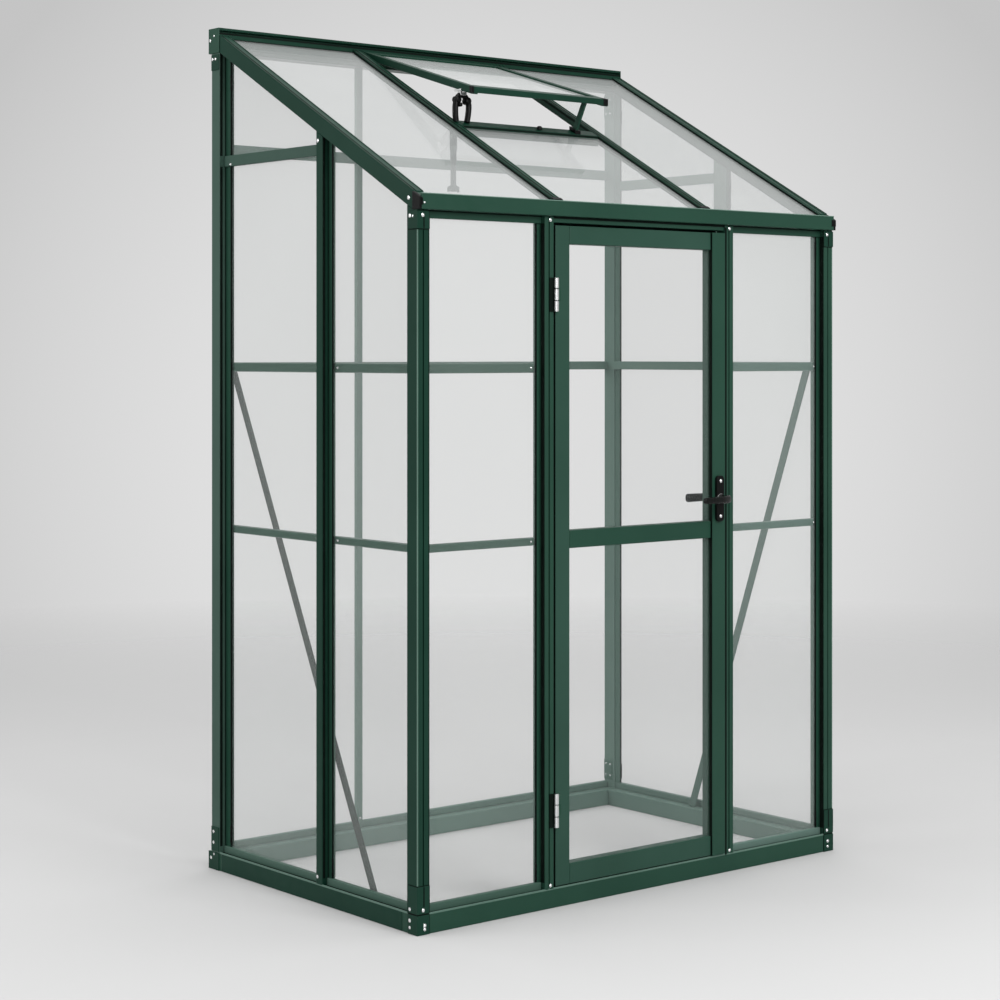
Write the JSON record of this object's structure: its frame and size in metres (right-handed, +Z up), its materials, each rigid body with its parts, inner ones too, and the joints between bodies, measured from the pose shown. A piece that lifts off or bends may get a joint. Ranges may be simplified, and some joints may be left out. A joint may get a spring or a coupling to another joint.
{
  "type": "lean-to greenhouse",
  "caption": "Lean-to greenhouse with a green metal frame, glass walls and a sloping glass roof, a hinged door with a lever handle and an open roof vent.",
  "frame": {"origin": "On the ground, in the middle of the outline from above, with the outside lever counted in", "axes": "+X along the front to the right as seen from outside, +Y towards the house wall, +Z up"},
  "size_m": [1.3, 0.883, 2.012],
  "materials": {
    "green_frame": "dark green powder coat",
    "glass": "clear horticultural glass",
    "black_fittings": "matt black",
    "hinge_metal": "bare metal"
  },
  "bodies": {
    "frame": {"base_front_sill": "green_frame", "base_back_sill": "green_frame", "base_left_sill": "green_frame", "base_right_sill": "green_frame", "front_left_post": "green_frame", "front_right_post": "green_frame", "back_left_post": "green_frame", "back_right_post": "green_frame", "left_mid_post": "green_frame", "right_mid_post": "green_frame", "back_mid_post": "green_frame", "door_hinge_post": "green_frame", "door_latch_post": "green_frame", "front_head_rails": "green_frame", "eave_beam": "green_frame", "ridge_beam": "green_frame", "left_rafter": "green_frame", "right_rafter": "green_frame", "mid_rafters": "green_frame", "left_wall_rails": "green_frame", "right_wall_rails": "green_frame", "front_wall_rails": "green_frame", "back_wall_rails": "green_frame", "wall_braces": "green_frame", "vent_sill": "green_frame", "vent_sash": "green_frame", "corner_brackets": "green_frame", "ridge_end_plates": "green_frame", "left_wall_glass": "glass", "right_wall_glass": "glass", "front_wall_glass": "glass", "roof_glass": "glass", "vent_glass": "glass", "eave_end_caps": "black_fittings", "vent_claw": "black_fittings", "vent_prop": "black_fittings", "vent_opener": "black_fittings", "hinge_post_leaves": "hinge_metal"},
    "door": {"door_hinge_stile": "green_frame", "door_latch_stile": "green_frame", "door_top_rail": "green_frame", "door_mid_rail": "green_frame", "door_bottom_rail": "green_frame", "door_glass": "glass", "handle_plates": "black_fittings", "hinge_door_leaves": "hinge_metal"},
    "handle": {"door_lever": "black_fittings"}
  },
  "joints": [
    {"name": "door_swing", "type": "hinge", "parent": "frame", "child": "door", "pos_m": [-0.26354, -0.3875, 0.791], "axis": [0, 0, -1], "range_deg": [0, 110]},
    {"name": "handle_turn", "type": "hinge", "parent": "door", "child": "handle", "pos_m": [0.24496, -0.3815, 0.891], "axis": [0, -1, 0], "range_deg": [0, 40], "stiffness_Nm_per_rad": 1, "springref_deg": -20.05}
  ]
}
